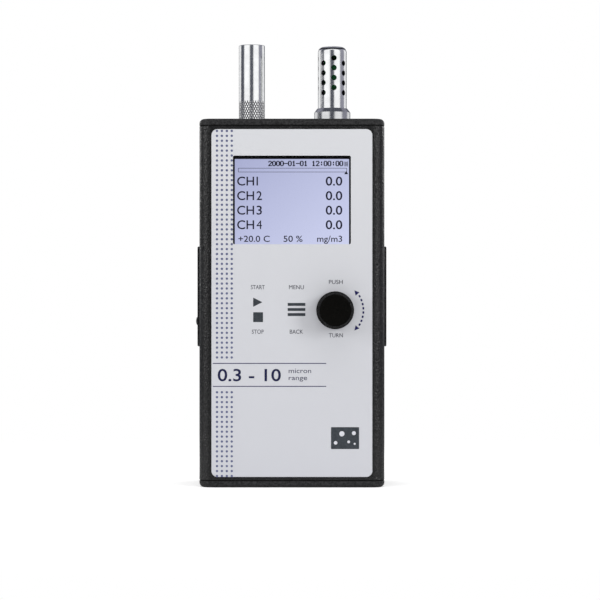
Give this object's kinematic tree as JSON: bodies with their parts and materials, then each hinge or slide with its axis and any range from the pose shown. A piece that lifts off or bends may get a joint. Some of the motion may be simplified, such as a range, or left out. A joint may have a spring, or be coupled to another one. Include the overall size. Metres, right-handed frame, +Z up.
{
  "type": "airborne particle counter",
  "caption": "Hand-held airborne particle counter: black upright case with a front display, membrane keys, a push dial, a sampling nozzle and a perforated air sensor on top.",
  "frame": {"origin": "centre of the bottom cap's outer face, on the surface that it stands on", "axes": "+Z up, towards the nozzle; -Y out of the front, the side of the display; +X to the right as the front is seen"},
  "size_m": [0.0961, 0.0624, 0.2232],
  "materials": {
    "case_black": "fine textured black",
    "gasket_rubber": "matte",
    "overlay_film": "satin polyester film",
    "window": "clear",
    "display_glass": "backlit liquid crystal panel",
    "backlight_white": "diffuser",
    "black_plastic": "moulded",
    "key_plastic": "moulded",
    "dial_black": "soft sheen",
    "dial_metal": "turned",
    "rotor_plastic": "moulded",
    "board_green": "solder mask",
    "polished_aluminium": "polished",
    "plain_aluminium": "milled",
    "brass": "turned",
    "screw_black": "black oxide",
    "screw_steel": "zinc plated",
    "pump_plastic": "moulded",
    "motor_steel": "plated",
    "hose_silicone": "translucent silicone",
    "filter_white": "moulded capsule",
    "cell_sleeve": "shrink sleeve"
  },
  "bodies": {
    "case": {"housing": "case_black", "top_cap": "case_black", "bottom_cap": "case_black", "left_plate": "case_black", "right_plate": "case_black", "top_gasket": "gasket_rubber", "bottom_gasket": "gasket_rubber", "display_gasket": "gasket_rubber", "front_overlay": "overlay_film", "display_lens": "window", "lcd_panel": "display_glass", "lcd_backlight": "backlight_white", "lcd_frame": "black_plastic", "start_switch": "black_plastic", "menu_switch": "black_plastic", "power_switch": "black_plastic", "charger_jack": "black_plastic", "encoder_base": "black_plastic", "light_trap": "black_plastic", "battery_cradle": "black_plastic", "board_chips": "black_plastic", "sensor_chip": "black_plastic", "encoder_bushing": "dial_metal", "main_board": "board_green", "lcd_board": "board_green", "detector_board": "board_green", "sensor_board": "board_green", "probe_shroud": "polished_aluminium", "probe_base": "polished_aluminium", "chassis": "plain_aluminium", "optics_block": "plain_aluminium", "pump_clamp": "plain_aluminium", "filter_clip": "plain_aluminium", "probe_nut": "plain_aluminium", "inlet_fitting": "brass", "laser_module": "brass", "jack_pin": "brass", "top_cap_screws": "screw_black", "bottom_cap_screws": "screw_black", "left_plate_screws": "screw_black", "right_plate_screws": "screw_black", "lcd_screws": "screw_steel", "lcd_spacers": "screw_steel", "usb_port": "screw_steel", "pump_head": "pump_plastic", "pump_motor": "motor_steel", "inlet_hose": "hose_silicone", "outlet_hose": "hose_silicone", "exhaust_hose": "hose_silicone", "exhaust_filter": "filter_white", "battery_cells": "cell_sleeve"},
    "encoder_rotor": {"encoder_rotor": "rotor_plastic"},
    "dial": {"dial_knob": "dial_black", "dial_shaft": "dial_metal"},
    "start_key": {"start_key": "key_plastic"},
    "menu_key": {"menu_key": "key_plastic"},
    "power_button": {"power_button": "black_plastic"},
    "nozzle_seal": {"nozzle_seal": "gasket_rubber"},
    "nozzle": {"inlet_nozzle": "polished_aluminium"}
  },
  "joints": [
    {"name": "dial_turn", "type": "hinge", "parent": "case", "child": "encoder_rotor", "pos_m": [0.02155, -0.0147, 0.0885], "axis": [0, -1, 0], "continuous": true},
    {"name": "dial_press", "type": "slide", "parent": "encoder_rotor", "child": "dial", "axis": [0, 1, 0], "range_m": [0, 0.0005], "stiffness_N_per_m": 1500, "springref_m": -0.0003},
    {"name": "start_key_press", "type": "slide", "parent": "case", "child": "start_key", "axis": [0, 1, 0], "range_m": [0, 0.0003], "stiffness_N_per_m": 1500, "springref_m": -0.0002},
    {"name": "menu_key_press", "type": "slide", "parent": "case", "child": "menu_key", "axis": [0, 1, 0], "range_m": [0, 0.0003], "stiffness_N_per_m": 1500, "springref_m": -0.0002},
    {"name": "power_button_press", "type": "slide", "parent": "case", "child": "power_button", "axis": [1, 0, 0], "range_m": [0, 0.0005], "stiffness_N_per_m": 800, "springref_m": -0.0003},
    {"name": "nozzle_lift", "type": "slide", "parent": "case", "child": "nozzle_seal", "axis": [0, 0, 1], "range_m": [0, 0.006]},
    {"name": "nozzle_turn", "type": "hinge", "parent": "nozzle_seal", "child": "nozzle", "pos_m": [-0.0205, 0, 0.2], "axis": [0, 0, 1], "range_deg": [0, 2160.4]}
  ],
  "couplings": [
    {"joint": "nozzle_turn", "follows": "nozzle_lift", "rad_per_m": 6283.2}
  ]
}
